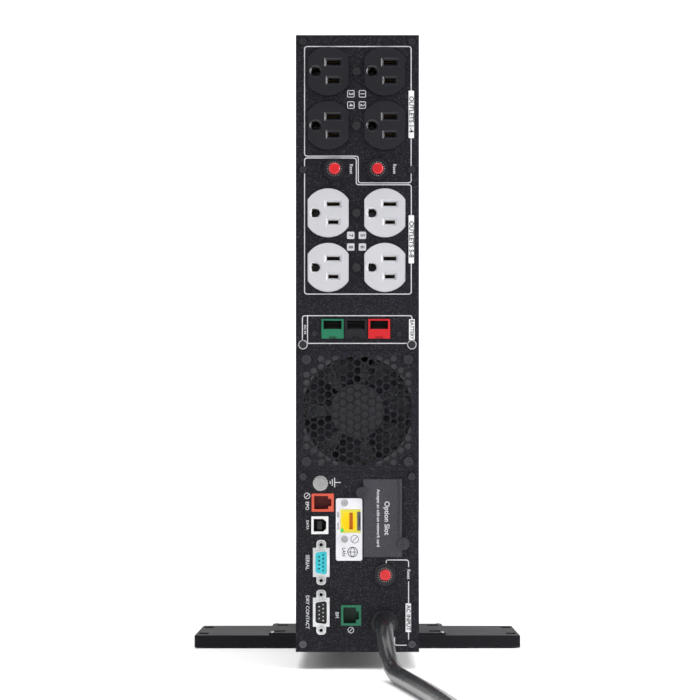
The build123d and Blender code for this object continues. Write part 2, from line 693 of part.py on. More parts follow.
# the cord's route as (x, out beyond the rear face, height above the floor)
CORD_ROUTE = (
    (19.0, BOOT_OUT, LIFT + GLAND[1]),
    (19.0, 42.0, LIFT + GLAND[1]),
    (18.6, 54.0, 29.9),
    (18.8, 66.0, 24.2),
    (20.5, 78.0, 15.6),
    (22.9, 90.0, 9.3),
    (25.4, 104.0, CORD_R),
    (28.8, 126.0, CORD_R),
    (36.5, 175.0, CORD_R),
    (44.5, 230.0, CORD_R),
    (53.0, 300.0, CORD_R),
    (59.0, 370.0, CORD_R),
    (62.0, 440.0, CORD_R),
    (62.5, 490.0, CORD_R),
    (62.5, 518.0, CORD_R),
)
CORD_PATH = [(x, -REAR - out, z) for x, out, z in CORD_ROUTE]


def bend_radii(points):
    """Largest comfortable arc at each corner of a route: 0.45 of its shorter run."""
    radii = []
    for before, corner, after in zip(points, points[1:], points[2:]):
        into = Vector(*corner) - Vector(*before)
        out = Vector(*after) - Vector(*corner)
        half_turn = radians(into.get_angle(out)) / 2
        radii.append(0.45 * min(into.length, out.length) / tan(half_turn))
    return radii


with BuildPart() as ac_cord:
    with BuildLine() as route:
        FilletPolyline(*CORD_PATH, radius=bend_radii(CORD_PATH))
    with BuildSketch(Plane(origin=CORD_PATH[0], z_dir=(0, -1, 0))):
        Circle(CORD_R)
    sweep()
save(ac_cord, "ac_cord")
print("cord radii", [round(r, 1) for r in bend_radii(CORD_PATH)])
print("cord run", round(route.wires()[0].length, 1))
print("cord volume ratio", round(ac_cord.part.volume / (pi * CORD_R ** 2 * route.wires()[0].length), 4))

with BuildPart() as ac_cord_coil:
    with BuildSketch(Plane.XY):
        with Locations((COIL_X, -REAR - COIL_OUT)):
            Circle(COIL_TURN_R[1] + CORD_R)
            Circle(COIL_TURN_R[0] - CORD_R, mode=Mode.SUBTRACT)
    extrude(amount=COIL_TOP)
    fillet(ac_cord_coil.edges().filter_by(GeomType.CIRCLE), 5.0)
save(ac_cord_coil, "ac_cord_coil")

with BuildPart() as coil_ties:
    for side in (-1, 1):
        middle = side * (COIL_TURN_R[0] + COIL_TURN_R[1]) / 2
        width = COIL_TURN_R[1] - COIL_TURN_R[0] + 2 * CORD_R
        with Locations((COIL_X, -REAR - COIL_OUT - middle, (COIL_TOP + TIE_T) / 2)):
            Box(4.5, width + 2 * TIE_T + 1, COIL_TOP + TIE_T)
        with Locations((COIL_X, -REAR - COIL_OUT - middle, COIL_TOP / 2)):
            Box(4.5, width + 1, COIL_TOP + 2 * SEAM, mode=Mode.SUBTRACT)
save(coil_ties, "coil_ties")

PLUG_X = COIL_X - PLUG_TURN_R
PLUG_Y = -REAR - COIL_OUT + PLUG_REACH


def plug_plane(along):
    """Plane across the plug, `along` from the back of its body toward its blades."""
    return Plane(origin=(PLUG_X, PLUG_Y + along, PLUG_Z), x_dir=(-1, 0, 0), z_dir=(0, 1, 0))


with BuildPart() as ac_plug:
    with BuildSketch(plug_plane(0)):
        RectangleRounded(*PLUG_BODY, 6)
    extrude(amount=PLUG_LEN)
    fillet(ac_plug.faces().sort_by(Axis.Y)[-1].edges(), 2.5)
    with BuildSketch(plug_plane(-28)):
        Circle(CORD_R + 0.8)
    with BuildSketch(plug_plane(0)):
        Circle(9.0)
    loft()
    with BuildSketch(plug_plane(PLUG_LEN)):
        with Locations((0, 4.4)):
            with GridLocations(12.7, 1, 2, 1):
                Rectangle(1.6, 6.4)
    extrude(amount=17)
    with BuildSketch(plug_plane(PLUG_LEN)):
        with Locations((0, -7.5)):
            Circle(2.4)
    extrude(amount=19)
save(ac_plug, "ac_plug")

# ---------------------------------------------------------------- electronics
BOARD_X = (-36.0, -34.4)
SIDE_PLANE = Plane(origin=(0, -REAR, LIFT), x_dir=(0, 1, 0), z_dir=(1, 0, 0))

with BuildPart() as main_board:
    slab(BOARD_X, (40.0, 380.0), (216.0, 426.0))
    with BuildSketch(SIDE_PLANE):
        with Locations((210, 321)):
            with GridLocations(326, 196, 2, 2):
                Circle(1.7)
    extrude(amount=HALF, both=True, mode=Mode.SUBTRACT)
save(main_board, "main_board")

with BuildPart() as hex_spacers:
    for h in (SERIAL_H, RELAY_H):
        for side in (-1, 1):
            at = (DSUB_X, h + side * JACK_SPACING / 2)
            with BuildSketch(rear(0.8)):
                with Locations(at):
                    RegularPolygon(2.4, 6, major_radius=False)
            extrude(amount=3.6)
            disc(*at, 1.5, 0.8, 7)
            disc(*at, JACK_HOLE_R, 4.4, 1, mode=Mode.SUBTRACT)
    with BuildSketch(SIDE_PLANE.offset(-INNER)):
        with Locations((210, 321)):
            with GridLocations(326, 196, 2, 2):
                RegularPolygon(2.75, 6, major_radius=False)
    extrude(amount=BOARD_X[0] + INNER)
    with BuildSketch(SIDE_PLANE.offset(BOARD_X[1])):
        with Locations((210, 321)):
            with GridLocations(326, 196, 2, 2):
                Circle(2.75)
    extrude(amount=1.8)
    with BuildSketch(SIDE_PLANE.offset(BOARD_X[0])):
        with Locations((210, 321)):
            with GridLocations(326, 196, 2, 2):
                Circle(1.5)
    extrude(amount=BOARD_X[1] - BOARD_X[0])
save(hex_spacers, "hex_spacers")

with BuildPart() as transformer_core:
    for s in (226.0, 302.0):
        slab((BOARD_X[1], 26.0), (s, s + 62.0), (232.0, 294.0))
        slab((BOARD_X[1] + 12, 14.0), (s + 10, s + 26), (232.0, 294.0), mode=Mode.SUBTRACT)
        slab((BOARD_X[1] + 12, 14.0), (s + 36, s + 52), (232.0, 294.0), mode=Mode.SUBTRACT)
save(transformer_core, "transformer_core")

with BuildPart() as windings:
    for s in (226.0, 302.0):
        slab((BOARD_X[1] + 12.3, 13.7), (s + 10.3, s + 25.7), (226.0, 300.0))
        slab((BOARD_X[1] + 12.3, 13.7), (s + 36.3, s + 51.7), (226.0, 300.0))
        for h in ((226.0, 231.7), (294.3, 300.0)):
            slab((BOARD_X[1] + 12.3, 13.7), (s + 25.7, s + 36.3), h)
    for s in (74.0, 116.0):
        with BuildSketch(SIDE_PLANE.offset(BOARD_X[1])):
            with Locations((s, 262)):
                Circle(18)
                Circle(8, mode=Mode.SUBTRACT)
        extrude(amount=16)
    fillet(windings.edges().filter_by(GeomType.CIRCLE), 2.5)
save(windings, "windings")

with BuildPart() as heatsinks:
    for h0 in (306.0, 360.0):
        slab((BOARD_X[1], 30.0), (120.0, 250.0), (h0, h0 + 4.0))
        for fin in range(9):
            s = 120.0 + fin * (130.0 - 2.0) / 8
            slab((BOARD_X[1], 30.0), (s, s + 2.0), (h0 + 4.0, h0 + 24.0))
save(heatsinks, "heatsinks")

with BuildPart() as power_components:
    for h0 in (306.0, 360.0):
        for s in (134.0, 158.0, 182.0, 206.0, 230.0):
            slab((BOARD_X[1] + 4, BOARD_X[1] + 24), (s - 8, s + 8), (h0 - 4.8, h0))
    for h in (330.0, 362.0, 394.0):
        for s in (60.0, 92.0):
            slab((BOARD_X[1], -14.0), (s - 14, s + 14), (h - 10, h + 10))
    with BuildSketch(SIDE_PLANE.offset(BOARD_X[1])):
        with Locations((322, 362)):
            with GridLocations(38, 38, 3, 3):
                Circle(16)
    extrude(amount=50)
    fillet(power_components.faces().group_by(Axis.X)[-1].edges(), 1.5)
save(power_components, "power_components")

with BuildPart() as control_boards:
    slab((-35.0, -33.4), (20.0, 110.0), (8.0, 116.0))
    slab((-33.4, -21.0), (24.0, 36.0), (14.0, 42.0))
    slab((-33.4, -21.0), (24.0, 36.0), (50.0, 78.0))
    slab((4.6, 6.2), (4.0, 100.0), (68.0, 119.0))
    slab((6.2, 8.2), (50.0, 64.0), (86.0, 100.0))
    slab((6.2, 8.2), (24.0, 32.0), (76.0, 84.0))
    slab((6.2, 14.2), (90.0, 100.0), (74.0, 112.0))
save(control_boards, "control_boards")

# ---------------------------------------------------------------- battery bay and drawer
with BuildPart() as bay_divider:
    slab((-INNER, INNER), (124.0, CASE_D), (DIVIDER_H, DIVIDER_H + SHEET))
    slab((-INNER, INNER), (124.0, 124.0 + SHEET), (2 * SHEET + 0.2, DIVIDER_H))
    slab((-12.0, 12.0), (124.0, 124.0 + SHEET), (92.0, 116.0), mode=Mode.SUBTRACT)
save(bay_divider, "bay_divider")

with BuildPart() as drawer_guides:
    slab((-28.0, 28.0), (130.0, 436.0), (SHEET, DRAWER_H[0] - GAP))
    slab((-28.0, 28.0), (130.0, 436.0), (DRAWER_H[1] + GAP, DIVIDER_H))
save(drawer_guides, "drawer_guides")

with BuildPart() as battery_drawer:
    slab((DRAWER_X, DRAWER_X + SHEET), DRAWER_S, DRAWER_H)
    slab((DRAWER_X, 20.0), DRAWER_S, (DRAWER_H[0], DRAWER_H[0] + SHEET))
    slab((DRAWER_X, 20.0), DRAWER_S, (DRAWER_H[1] - SHEET, DRAWER_H[1]))
    slab((DRAWER_X, 20.0), (DRAWER_S[0], DRAWER_S[0] + SHEET), DRAWER_H)
    slab((DRAWER_X, 37.0), (DRAWER_S[1] - SHEET, DRAWER_S[1]), DRAWER_H)
    for h in (90.0, 116.0):
        slab((-3.0, 3.0), (DRAWER_S[1] - SHEET, DRAWER_S[1]), (h - 3, h + 3), mode=Mode.SUBTRACT)
save(battery_drawer, "battery_drawer")

with BuildPart() as battery_blocks:
    for row_h in ROW_H:
        for s in (DRAWER_S[0] + SHEET, DRAWER_S[1] - SHEET - BLOCK_S):
            slab((DRAWER_X + SHEET, DRAWER_X + SHEET + BLOCK_X), (s, s + BLOCK_S), (row_h, row_h + BLOCK_H))
    fillet(battery_blocks.edges().filter_by(Axis.X), 1.5)
    for s0 in (DRAWER_S[0] + SHEET, DRAWER_S[1] - SHEET - BLOCK_S):
        for s in (s0 + 12, s0 + BLOCK_S - 12):
            slab((-24.0, -17.7), (s - 0.4, s + 0.4), (ROW_H[0] + BLOCK_H, ROW_H[0] + BLOCK_H + 6.0))
            slab((10.0, 16.3), (s - 0.4, s + 0.4), (ROW_H[1] - 6.0, ROW_H[1]))
save(battery_blocks, "battery_blocks")

PULL_PLANE = Plane(origin=(0, DRAWER_S[1] - REAR, LIFT + 103), x_dir=(1, 0, 0), z_dir=(0, 1, 0))

with BuildPart() as drawer_pull:
    with BuildSketch(PULL_PLANE):
        with GridLocations(1, 26, 1, 2):
            Rectangle(6, 6)
    extrude(amount=-SHEET)
    with BuildSketch(PULL_PLANE):
        with GridLocations(1, 30, 1, 2):
            Rectangle(12, 12)
    extrude(amount=14)
    with BuildSketch(PULL_PLANE.offset(10)):
        Rectangle(12, 30)
    extrude(amount=4)
save(drawer_pull, "drawer_pull")


# ---------------------------------------------------------------- front bezels
def bezel_shell(h, start):
    """A moulded front cover, open toward the case, with a row of ventilation slots."""
    slab((-HALF, HALF), (start, FRONT), h)
    slab((-HALF + WALL, HALF - WALL), (start, FRONT - WALL), (h[0] + WALL, h[1] - WALL), mode=Mode.SUBTRACT)


def vent_slots(low, high, pitch=7.0):
    """Horizontal slots through a front cover."""
    count = int((high - low) / pitch) + 1
    with BuildSketch(Plane(origin=(0, FRONT - REAR, LIFT), x_dir=(1, 0, 0), z_dir=(0, 1, 0))) as slots:
        with Locations((0, -(low + high) / 2)):
            with GridLocations(1, pitch, 1, count):
                SlotOverall(66, 3.2)
    extrude(slots.sketch, amount=-WALL - 0.5, mode=Mode.SUBTRACT)


with BuildPart() as display_bezel:
    bezel_shell((BEZEL_SPLIT + GAP, CASE_H), CASE_D)
    disc(0, DIAL_H, DIAL_HOLE_R + 2.4, -DIAL_BACK + 2.4, FRONT)
    disc(0, DIAL_H, DIAL_HOLE_R, -DIAL_BACK, FRONT, mode=Mode.SUBTRACT)
    disc(0, DIAL_H, PIVOT_R + 0.05, -DIAL_BACK + 3, DIAL_BACK, mode=Mode.SUBTRACT)
    vent_slots(232.0, 322.0)
save(display_bezel, "display_bezel")

with BuildPart() as battery_bezel:
    bezel_shell((0, BEZEL_SPLIT), CASE_D + GAP)
    vent_slots(30.0, 184.0)
    for x in (-30.0, 30.0):
        for h in (24.0, 190.0):
            disc(x, h, 3.5, -DRAWER_S[1] - GAP, FRONT - WALL)
save(battery_bezel, "battery_bezel")

# ---------------------------------------------------------------- display module, turns for rack or tower use
FRONT_FACE = Plane(origin=(0, DIAL_FRONT - REAR, LIFT + DIAL_H), x_dir=(-1, 0, 0), z_dir=(0, 1, 0))

with BuildPart() as display_housing:
    with BuildSketch(FRONT_FACE):
        Circle(DIAL_R)
    extrude(amount=-(DIAL_FRONT - DIAL_BACK - GAP))
    fillet(display_housing.faces().sort_by(Axis.Y)[-1].edges(), 0.8)
    with BuildSketch(FRONT_FACE):
        with Locations((0, LCD_RISE)):
            RectangleRounded(*LCD, 1.5)
    extrude(amount=-LCD_POCKET, mode=Mode.SUBTRACT)
    with BuildSketch(FRONT_FACE):
        with Locations([(x, -KEY_DROP) for x in KEY_X]):
            Circle(KEY_HOLE_R)
    extrude(amount=-KEY_WELL, mode=Mode.SUBTRACT)
    with BuildSketch(FRONT_FACE.offset(-(DIAL_FRONT - DIAL_BACK - GAP))):
        Circle(PIVOT_R)
    extrude(amount=-6)
save(display_housing, "display_housing")

with BuildPart() as display_screen:
    with BuildSketch(FRONT_FACE.offset(-LCD_POCKET)):
        with Locations((0, LCD_RISE)):
            Rectangle(LCD[0] - 3, LCD[1] - 3)
    extrude(amount=1.2)
save(display_screen, "display_screen")

with BuildPart() as display_window:
    with BuildSketch(FRONT_FACE.offset(-LCD_POCKET + 1.2)):
        with Locations((0, LCD_RISE)):
            RectangleRounded(LCD[0] - 0.2, LCD[1] - 0.2, 1.4)
    extrude(amount=LCD_POCKET - 1.2 - 0.2)
save(display_window, "display_window")

for x, key in zip(KEY_X, KEY_NAMES):
    with BuildPart() as display_key:
        with BuildSketch(FRONT_FACE.offset(KEY_OUT)):
            with Locations((x, -KEY_DROP)):
                Circle(KEY_R)
        extrude(amount=-KEY_OUT - KEY_WELL + KEY_TRAVEL + GAP)
        fillet(display_key.faces().sort_by(Axis.Y)[-1].edges(), 0.5)
    save(display_key, f"key_{key}")

# ---------------------------------------------------------------- tower stand
STAND_Y = sum(STAND_S) / 2 - REAR
STAND_D = STAND_S[1] - STAND_S[0]


def four_places(x, y, centre_y):
    """The four places at +-x across and +-y along from the stand's centre."""
    return [(side * x, centre_y + end * y) for side in (-1, 1) for end in (-1, 1)]


def pocket_places(x):
    """Places of the pockets near both ends of a stand piece."""
    return [(side * x, s - REAR) for side in (-1, 1) for s in POCKET_S]


PIN_PLACES = four_places(STAND_PIN_X, STAND_D / 2 - STAND_PIN_INSET, STAND_Y)
PAD_PLACES = [(side * x, STAND_Y) for side in (-1, 1) for x in PAD_X]

with BuildPart() as stand_base:
    with BuildSketch(Plane.XY.offset(PAD_Z)):
        with Locations((0, STAND_Y)):
            RectangleRounded(2 * STAND_HALF_W, STAND_D, 1.5)
    extrude(amount=FOOT_TOP - PAD_Z)
    fillet(stand_base.faces().sort_by(Axis.Z)[-1].edges(), 0.6)
    with BuildSketch(Plane.XY.offset(PAD_Z)):
        with Locations(PAD_PLACES):
            RectangleRounded(*PAD_SIZE, 3)
    extrude(amount=PAD_RECESS, mode=Mode.SUBTRACT)
    with BuildSketch(Plane.XY.offset(FOOT_TOP)):
        with Locations(pocket_places(FOOT_POCKET_X)):
            Rectangle(*FOOT_POCKET[:2])
    extrude(amount=-FOOT_POCKET[2], mode=Mode.SUBTRACT)
save(stand_base, "stand_base")

with BuildPart() as stand_pads:
    with BuildSketch(Plane.XY):
        with Locations(PAD_PLACES):
            RectangleRounded(*PAD_SIZE, 3)
    extrude(amount=PAD_Z + PAD_RECESS)
save(stand_pads, "stand_pads")

with BuildPart() as stand_platform:
    with BuildSketch(Plane.XY.offset(FOOT_TOP)):
        with Locations((0, STAND_Y)):
            RectangleRounded(2 * PLATFORM_HALF_W, STAND_D - 2, 1.5)
        with Locations(pocket_places(PLATFORM_POCKET_X)):
            Rectangle(*PLATFORM_POCKET, mode=Mode.SUBTRACT)
        with Locations(PIN_PLACES):
            Circle(STAND_PIN_R + SEAM, mode=Mode.SUBTRACT)
    extrude(amount=LIFT - FOOT_TOP)
    with BuildSketch(Plane.XY.offset(FOOT_TOP)):
        with Locations(PIN_PLACES):
            Circle(STAND_PIN_R)
    extrude(amount=LIFT - FOOT_TOP + STAND_PIN_RISE)
save(stand_platform, "stand_platform")
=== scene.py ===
"""Look of the rackmount UPS: camera, cord, finishes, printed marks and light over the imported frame."""
import json
from math import cos, pi, radians, sin

import bmesh
import bpy
from mathutils import Matrix, Vector


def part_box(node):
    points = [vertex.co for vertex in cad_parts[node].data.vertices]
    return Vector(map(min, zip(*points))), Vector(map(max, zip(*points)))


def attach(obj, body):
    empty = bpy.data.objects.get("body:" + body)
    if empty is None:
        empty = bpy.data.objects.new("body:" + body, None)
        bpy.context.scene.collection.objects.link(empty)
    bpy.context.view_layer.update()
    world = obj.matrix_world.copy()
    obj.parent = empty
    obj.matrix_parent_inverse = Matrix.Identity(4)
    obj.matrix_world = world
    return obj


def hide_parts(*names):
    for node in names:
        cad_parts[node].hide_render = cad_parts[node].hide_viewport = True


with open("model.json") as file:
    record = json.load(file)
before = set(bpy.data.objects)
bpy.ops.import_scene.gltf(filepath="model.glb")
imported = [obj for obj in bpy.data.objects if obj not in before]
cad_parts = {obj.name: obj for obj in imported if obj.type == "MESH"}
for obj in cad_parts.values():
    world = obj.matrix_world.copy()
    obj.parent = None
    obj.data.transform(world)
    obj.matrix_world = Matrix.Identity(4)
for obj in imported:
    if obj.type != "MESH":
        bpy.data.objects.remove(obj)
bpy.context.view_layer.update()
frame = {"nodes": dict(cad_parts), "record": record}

# ---------------------------------------------------------------- places
# Panel places are (x, out, h) in millimetres: x across, out beyond the rear face,
# h above the lower edge of the case.
MM = 0.001
REAR_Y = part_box("outlet_panel")[0][1]
BASE_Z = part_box("case_tray")[0][2]
PRINT_T = 0.05
INK_GAP = 0.02
DSUB_X, SERIAL_H, RELAY_H = -25.4, 62.9, 28.0
JACKSCREW_REACH = 12.5
LAN_MOUTH_X = (-11.1, -1.1)


def place(x, out, h):
    """A point in the shared frame, in metres, from a panel place."""
    return Vector((x * MM, REAR_Y - out * MM, BASE_Z + h * MM))


# ---------------------------------------------------------------- camera
CAMERA_BACK = 1.65
CAMERA_HEIGHT = 0.1482
LENS_MM = 120.93
LENS_SHIFT = (-0.0106, 0.154)


def make_camera():
    """Level camera facing the rear panel; the shift only sets where the horizon falls in the frame."""
    data = bpy.data.cameras.new("camera")
    data.lens = LENS_MM
    data.sensor_width = 36.0
    data.shift_x, data.shift_y = LENS_SHIFT
    data.clip_end = 50
    camera = bpy.data.objects.new("camera", data)
    camera.location = (0, REAR_Y - CAMERA_BACK, CAMERA_HEIGHT)
    camera.rotation_euler = (radians(90), 0, 0)
    bpy.context.scene.collection.objects.link(camera)
    bpy.context.scene.camera = camera


make_camera()


# ---------------------------------------------------------------- node helpers
def link_object(name, data, body="chassis"):
    """A new object that rides on a body."""
    piece = bpy.data.objects.new(name, data)
    bpy.context.scene.collection.objects.link(piece)
    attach(piece, body)
    return piece


def mesh_object(name, shape, material, body="chassis"):
    """A mesh object from a bmesh, with one material."""
    data = bpy.data.meshes.new(name)
    bmesh.ops.recalc_face_normals(shape, faces=shape.faces)
    shape.to_mesh(data)
    shape.free()
    data.materials.append(material)
    return link_object(name, data, body)


def ramp(tree, source, stops):
    """A colour ramp over a value; stops are (position, colour)."""
    node = tree.nodes.new("ShaderNodeValToRGB")
    while len(node.color_ramp.elements) < len(stops):
        node.color_ramp.elements.new(0.5)
    for element, (position, color) in zip(node.color_ramp.elements, stops):
        element.position = position
        element.color = (*color, 1)
    tree.links.new(source, node.inputs["Fac"])
    return node.outputs["Color"]


def noise_field(tree, scale, detail=2.0, stretch=(1, 1, 1)):
    """Noise in object space; scale is in cells per metre."""
    coords = tree.nodes.new("ShaderNodeTexCoord")
    mapping = tree.nodes.new("ShaderNodeMapping")
    mapping.inputs["Scale"].default_value = stretch
    noise = tree.nodes.new("ShaderNodeTexNoise")
    noise.inputs["Scale"].default_value = scale
    noise.inputs["Detail"].default_value = detail
    tree.links.new(coords.outputs["Object"], mapping.inputs["Vector"])
    tree.links.new(mapping.outputs["Vector"], noise.inputs["Vector"])
    return noise.outputs["Fac"]


def scaled(color, factor):
    """A colour made lighter or darker."""
    return tuple(min(1, part * factor) for part in color)


def finish(name, color, rough, metallic=0.0, grain=900.0, bump=0.15, depth=0.00005, vary=0.12, cloud=18.0,
           speck=None, speck_share=0.7, stretch=(1, 1, 1), coat=0.0, rough_vary=0.06, specular=0.5):
    """A principled finish with fine grain, slow colour drift, uneven gloss and, if given, flecks."""
    material = bpy.data.materials.new(name)
    material.use_nodes = True
    tree = material.node_tree
    shader = tree.nodes["Principled BSDF"]
    fine = noise_field(tree, grain, 3.0, stretch)
    slow = noise_field(tree, cloud, 4.0, stretch)
    body = ramp(tree, slow, ((0.3, scaled(color, 1 - vary)), (0.7, scaled(color, 1 + vary))))
    if speck:
        mask = ramp(tree, fine, ((speck_share - 0.05, (0, 0, 0)), (speck_share + 0.05, (1, 1, 1))))
        blend = tree.nodes.new("ShaderNodeMix")
        blend.data_type = "RGBA"
        blend.inputs["B"].default_value = (*speck, 1)
        tree.links.new(mask, blend.inputs["Factor"])
        tree.links.new(body, blend.inputs["A"])
        body = blend.outputs["Result"]
    tree.links.new(body, shader.inputs["Base Color"])
    gloss = tree.nodes.new("ShaderNodeMapRange")
    gloss.inputs["To Min"].default_value = max(0.02, rough - rough_vary)
    gloss.inputs["To Max"].default_value = rough + rough_vary
    tree.links.new(slow, gloss.inputs["Value"])
    tree.links.new(gloss.outputs["Result"], shader.inputs["Roughness"])
    relief = tree.nodes.new("ShaderNodeBump")
    relief.inputs["Strength"].default_value = bump
    relief.inputs["Distance"].default_value = depth
    tree.links.new(fine, relief.inputs["Height"])
    tree.links.new(relief.outputs["Normal"], shader.inputs["Normal"])
    shader.inputs["Metallic"].default_value = metallic
    shader.inputs["Coat Weight"].default_value = coat
    shader.inputs["Specular IOR Level"].default_value = specular
    return material


# ---------------------------------------------------------------- finishes
CASE_BLACK = (0.0055, 0.0055, 0.0095)
POWDER = dict(grain=1300.0, bump=0.6, depth=0.0003, speck=(0.05, 0.05, 0.066), speck_share=0.62, cloud=25.0,
              specular=0.2)
FINISHES = {
    "case_paint": finish("case_paint", CASE_BLACK, 0.5, **POWDER),
    "zinc_plate": finish("zinc_plate", (0.8, 0.81, 0.82), 0.3, 0.75, grain=400, vary=0.08, cloud=60),
    "black_screw": finish("black_screw", (0.09, 0.09, 0.1), 0.25, 1.0, grain=3000, bump=0.05,
                          rough_vary=0.03),
    "bright_screw": finish("bright_screw", (0.6, 0.6, 0.6), 0.25, 1.0, grain=2500, bump=0.1),
    "white_plate": finish("white_plate", (0.72, 0.72, 0.76), 0.4, 0.0, grain=2500, bump=0.08, vary=0.03),
    "grey_plate": finish("grey_plate", (0.04, 0.04, 0.05), 0.42, 0.2, grain=1800, bump=0.35, vary=0.08,
                         speck=(0.09, 0.09, 0.105), speck_share=0.64),
    "black_plastic": finish("black_plastic", (0.0075, 0.0075, 0.0115), 0.3, grain=2200, bump=0.05),
    "grey_plastic": finish("grey_plastic", (0.5, 0.5, 0.53), 0.38, grain=2200, bump=0.1, vary=0.03),
    "red_plastic": finish("red_plastic", (0.56, 0.008, 0.014), 0.28, grain=2600, bump=0.06, vary=0.1,
                          coat=0.3),
    "green_plastic": finish("green_plastic", (0.008, 0.15, 0.075), 0.35, grain=2600, bump=0.06, coat=0.1),
    "coral_plastic": finish("coral_plastic", (0.58, 0.08, 0.04), 0.36, grain=2600, bump=0.06),
    "white_plastic": finish("white_plastic", (0.72, 0.72, 0.72), 0.32, grain=2600, bump=0.06, vary=0.03),
    "yellow_plastic": finish("yellow_plastic", (0.62, 0.55, 0.04), 0.3, grain=2600, bump=0.06),
    "teal_plastic": finish("teal_plastic", (0.03, 0.45, 0.52), 0.35, grain=2600, bump=0.06),
    # Brass darkened far below its own colour: painted shade of the slots that the contacts sit in; the plug
    # pins and battery terminals share it.
    "brass": finish("brass", (0.1, 0.07, 0.03), 0.45, 1.0, grain=2500, bump=0.08),
    "circuit_board": finish("circuit_board", (0.01, 0.11, 0.035), 0.3, grain=700, bump=0.3, vary=0.3,
                            cloud=160, speck=(0.35, 0.3, 0.16), speck_share=0.72),
    "core_steel": finish("core_steel", (0.12, 0.12, 0.125), 0.5, 0.8, grain=1800, bump=0.4,
                         stretch=(1, 1, 0.02)),
    "copper_wire": finish("copper_wire", (0.5, 0.17, 0.06), 0.25, 0.9, grain=900, bump=0.7, depth=0.0004,
                          stretch=(1, 0.05, 1)),
    "aluminium": finish("aluminium", (0.62, 0.63, 0.64), 0.35, 1.0, grain=1200, bump=0.2,
                        stretch=(0.03, 1, 1)),
    "component_black": finish("component_black", (0.014, 0.014, 0.017), 0.35, grain=1500, bump=0.12),
    "battery_case": finish("battery_case", (0.04, 0.042, 0.048), 0.5, grain=1200, bump=0.2),
    "guide_plastic": finish("guide_plastic", (0.6, 0.6, 0.58), 0.5, grain=1500, bump=0.1),
    "bezel_plastic": finish("bezel_plastic", (0.012, 0.012, 0.014), 0.38, grain=1800, bump=0.3, depth=0.0001),
    "key_plastic": finish("key_plastic", (0.16, 0.16, 0.17), 0.35, grain=2500, bump=0.08),
    "screen": finish("screen", (0.01, 0.035, 0.11), 0.2, grain=2500, bump=0.03, vary=0.1),
    "rubber": finish("rubber", (0.006, 0.006, 0.008), 0.28, grain=1500, bump=0.08, depth=0.00005,
                     rough_vary=0.04),
    "stand_plastic": finish("stand_plastic", (0.009, 0.009, 0.012), 0.6, grain=1500, bump=0.4, depth=0.0002,
                            specular=0.12, speck=(0.022, 0.022, 0.027), speck_share=0.62),
}
INK_WHITE = finish("ink_white", (0.6, 0.6, 0.63), 0.5, grain=3000, bump=0.1, vary=0.06, cloud=200)
INK_DARK = finish("ink_dark", (0.015, 0.015, 0.018), 0.5, grain=3000, bump=0.1, vary=0.06)
LABEL_WHITE = finish("label_white", (0.78, 0.78, 0.8), 0.45, grain=3000, bump=0.06, vary=0.03)
# Chrome for the stand's corner pins, which stand in for the highlight on the platform's corners: a painted
# highlight.
GLINT_PIN_CHROME = finish("glint_pin_chrome", (0.72, 0.72, 0.74), 0.15, 1.0, grain=2500, bump=0.05)
GREEN_LIGHT = finish("green_light", (0.05, 0.55, 0.1), 0.25, grain=2500, bump=0.05)
# Near-black laid inside sockets, ports and jackscrew holes and on the battery port contacts: painted shade of
# those recesses.
CAVITY_SHADE = finish("cavity_shade", (0.012, 0.01, 0.008), 0.5, grain=2500, bump=0.1)
# Darker copies of the red and green plastics for the insides of ports and jacks: their own colour with
# painted shade of the recess.
SHADED_RED_CAVITY = finish("shaded_red_cavity", (0.2, 0.008, 0.006), 0.4, grain=2500, bump=0.1)
SHADED_GREEN_CAVITY = finish("shaded_green_cavity", (0.003, 0.06, 0.03), 0.4, grain=2500, bump=0.1)
FAN_GREY = finish("fan_grey", (0.05, 0.05, 0.056), 0.25, grain=2500, bump=0.05)
GREY_STRIP = finish("grey_strip", (0.16, 0.16, 0.17), 0.3, 0.8, grain=2500, bump=0.05)


def lan_cavity():
    """Inside of the network socket: yellow plastic with an orange-brown contact comb across its middle, also
    given a painted glow so the recess shows bright.
    """
    material = finish("lan_cavity", (0.7, 0.55, 0.03), 0.35, grain=2500, bump=0.05)
    tree = material.node_tree
    shader = tree.nodes["Principled BSDF"]
    coords = tree.nodes.new("ShaderNodeTexCoord")
    parts = tree.nodes.new("ShaderNodeSeparateXYZ")
    tree.links.new(coords.outputs["Object"], parts.inputs["Vector"])
    across = tree.nodes.new("ShaderNodeMapRange")
    across.inputs["From Min"].default_value = LAN_MOUTH_X[0] * MM
    across.inputs["From Max"].default_value = LAN_MOUTH_X[1] * MM
    tree.links.new(parts.outputs["X"], across.inputs["Value"])
    yellow, brown = (0.8, 0.58, 0.01), (0.28, 0.1, 0.012)
    stops = ((0.5, yellow), (0.56, brown), (0.76, brown), (0.82, yellow))
    color = ramp(tree, across.outputs["Result"], stops)
    tree.links.new(color, shader.inputs["Base Color"])
    # The socket's colours are also emitted: a painted glow that lights its recess, with no lamp inside.
    tree.links.new(color, shader.inputs["Emission Color"])
    shader.inputs["Emission Strength"].default_value = 0.55
    return material


GLOWING_LAN_CAVITY = lan_cavity()


def window_glass():
    """Clear cover over the screen."""
    material = finish("window", (0.9, 0.92, 0.95), 0.06, grain=2500, bump=0.02, vary=0.02, rough_vary=0.03)
    shader = material.node_tree.nodes["Principled BSDF"]
    shader.inputs["Transmission Weight"].default_value = 1.0
    shader.inputs["IOR"].default_value = 1.45
    return material


FINISHES["window"] = window_glass()


def coat_nodes():
    """Give each CAD node the finish of its record slot."""
    for part in frame["record"]["subparts"]:
        node = frame["nodes"].get(part["node"])
        if node is None:
            continue
        node.data.materials.clear()
        node.data.materials.append(FINISHES[part["material_slot"]])


coat_nodes()


